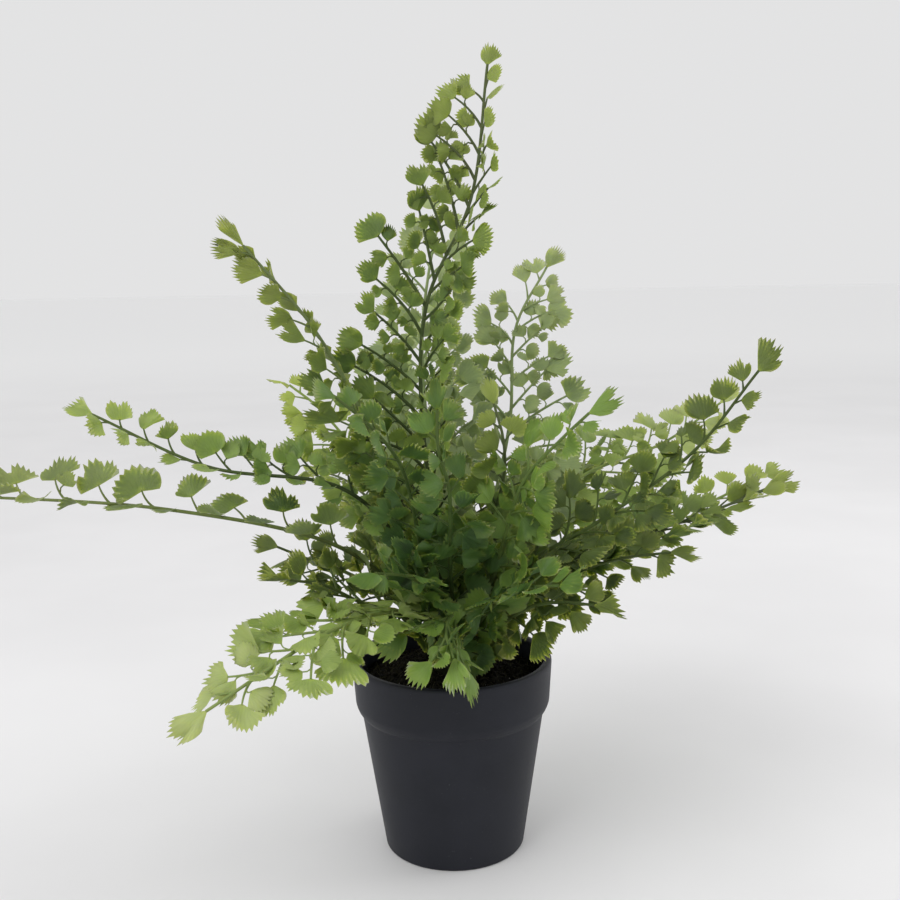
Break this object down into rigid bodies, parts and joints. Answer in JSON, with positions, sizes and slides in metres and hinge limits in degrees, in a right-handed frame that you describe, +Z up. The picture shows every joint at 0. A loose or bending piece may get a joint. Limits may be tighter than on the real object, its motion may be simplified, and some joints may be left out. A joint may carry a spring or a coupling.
{
  "type": "potted artificial maidenhair fern",
  "caption": "Bushy artificial maidenhair fern: arching sprays of small toothed fan-shaped leaflets on wiry stalks, set in a tapered round plastic pot with a deep straight collar.",
  "frame": {"origin": "centre of the pot's flat base, on the pot's axis", "axes": "+Z up along the pot's axis, -Y towards the side that the droopiest front fronds hang over, +X to the right seen from there"},
  "size_m": [0.5183, 0.3577, 0.4706],
  "materials": {
    "pot_plastic": "fine matte moulded plastic, charcoal with a slight blue cast",
    "cement": "rough cast cement",
    "foam": "dry floral foam",
    "soil": "dark fibrous peat and moss",
    "stalk_plastic": "satin olive green plastic over wire",
    "leaf_plastic": "soft matte moulded leaf plastic with pressed veins, yellower at the frond tips"
  },
  "bodies": {
    "root": {"pot": "pot_plastic", "weight": "cement", "foam": "foam", "soil": "soil", "crown": "stalk_plastic", "tall_front_stalk": "stalk_plastic", "tall_front_spray": "leaf_plastic", "tall_back_stalk": "stalk_plastic", "tall_back_spray": "leaf_plastic", "back_right_upright_stalk": "stalk_plastic", "back_right_upright_spray": "leaf_plastic", "left_high_stalk": "stalk_plastic", "left_high_spray": "leaf_plastic", "left_upper_stalk": "stalk_plastic", "left_upper_spray": "leaf_plastic", "left_long_stalk": "stalk_plastic", "left_long_spray": "leaf_plastic", "left_droop_stalk": "stalk_plastic", "left_droop_spray": "leaf_plastic", "centre_left_stalk": "stalk_plastic", "centre_left_spray": "leaf_plastic", "left_low_stalk": "stalk_plastic", "left_low_spray": "leaf_plastic", "front_droop_stalk": "stalk_plastic", "front_droop_spray": "leaf_plastic", "right_high_stalk": "stalk_plastic", "right_high_spray": "leaf_plastic", "right_long_stalk": "stalk_plastic", "right_long_spray": "leaf_plastic", "right_back_stalk": "stalk_plastic", "right_back_spray": "leaf_plastic", "right_near_stalk": "stalk_plastic", "right_near_spray": "leaf_plastic", "centre_right_stalk": "stalk_plastic", "centre_right_spray": "leaf_plastic", "right_low_stalk": "stalk_plastic", "right_low_spray": "leaf_plastic", "right_dip_stalk": "stalk_plastic", "right_dip_spray": "leaf_plastic", "left_back_stalk": "stalk_plastic", "left_back_spray": "leaf_plastic", "left_near_stalk": "stalk_plastic", "left_near_spray": "leaf_plastic", "front_high_stalk": "stalk_plastic", "front_high_spray": "leaf_plastic", "right_front_upright_stalk": "stalk_plastic", "right_front_upright_spray": "leaf_plastic", "back_left_arch_stalk": "stalk_plastic", "back_left_arch_spray": "leaf_plastic", "back_arch_stalk": "stalk_plastic", "back_arch_spray": "leaf_plastic", "back_right_arch_stalk": "stalk_plastic", "back_right_arch_spray": "leaf_plastic", "right_under_stalk": "stalk_plastic", "right_under_spray": "leaf_plastic", "left_side_stalk": "stalk_plastic", "left_side_spray": "leaf_plastic", "back_upper_stalk": "stalk_plastic", "back_upper_spray": "leaf_plastic"}
  },
  "joints": []
}
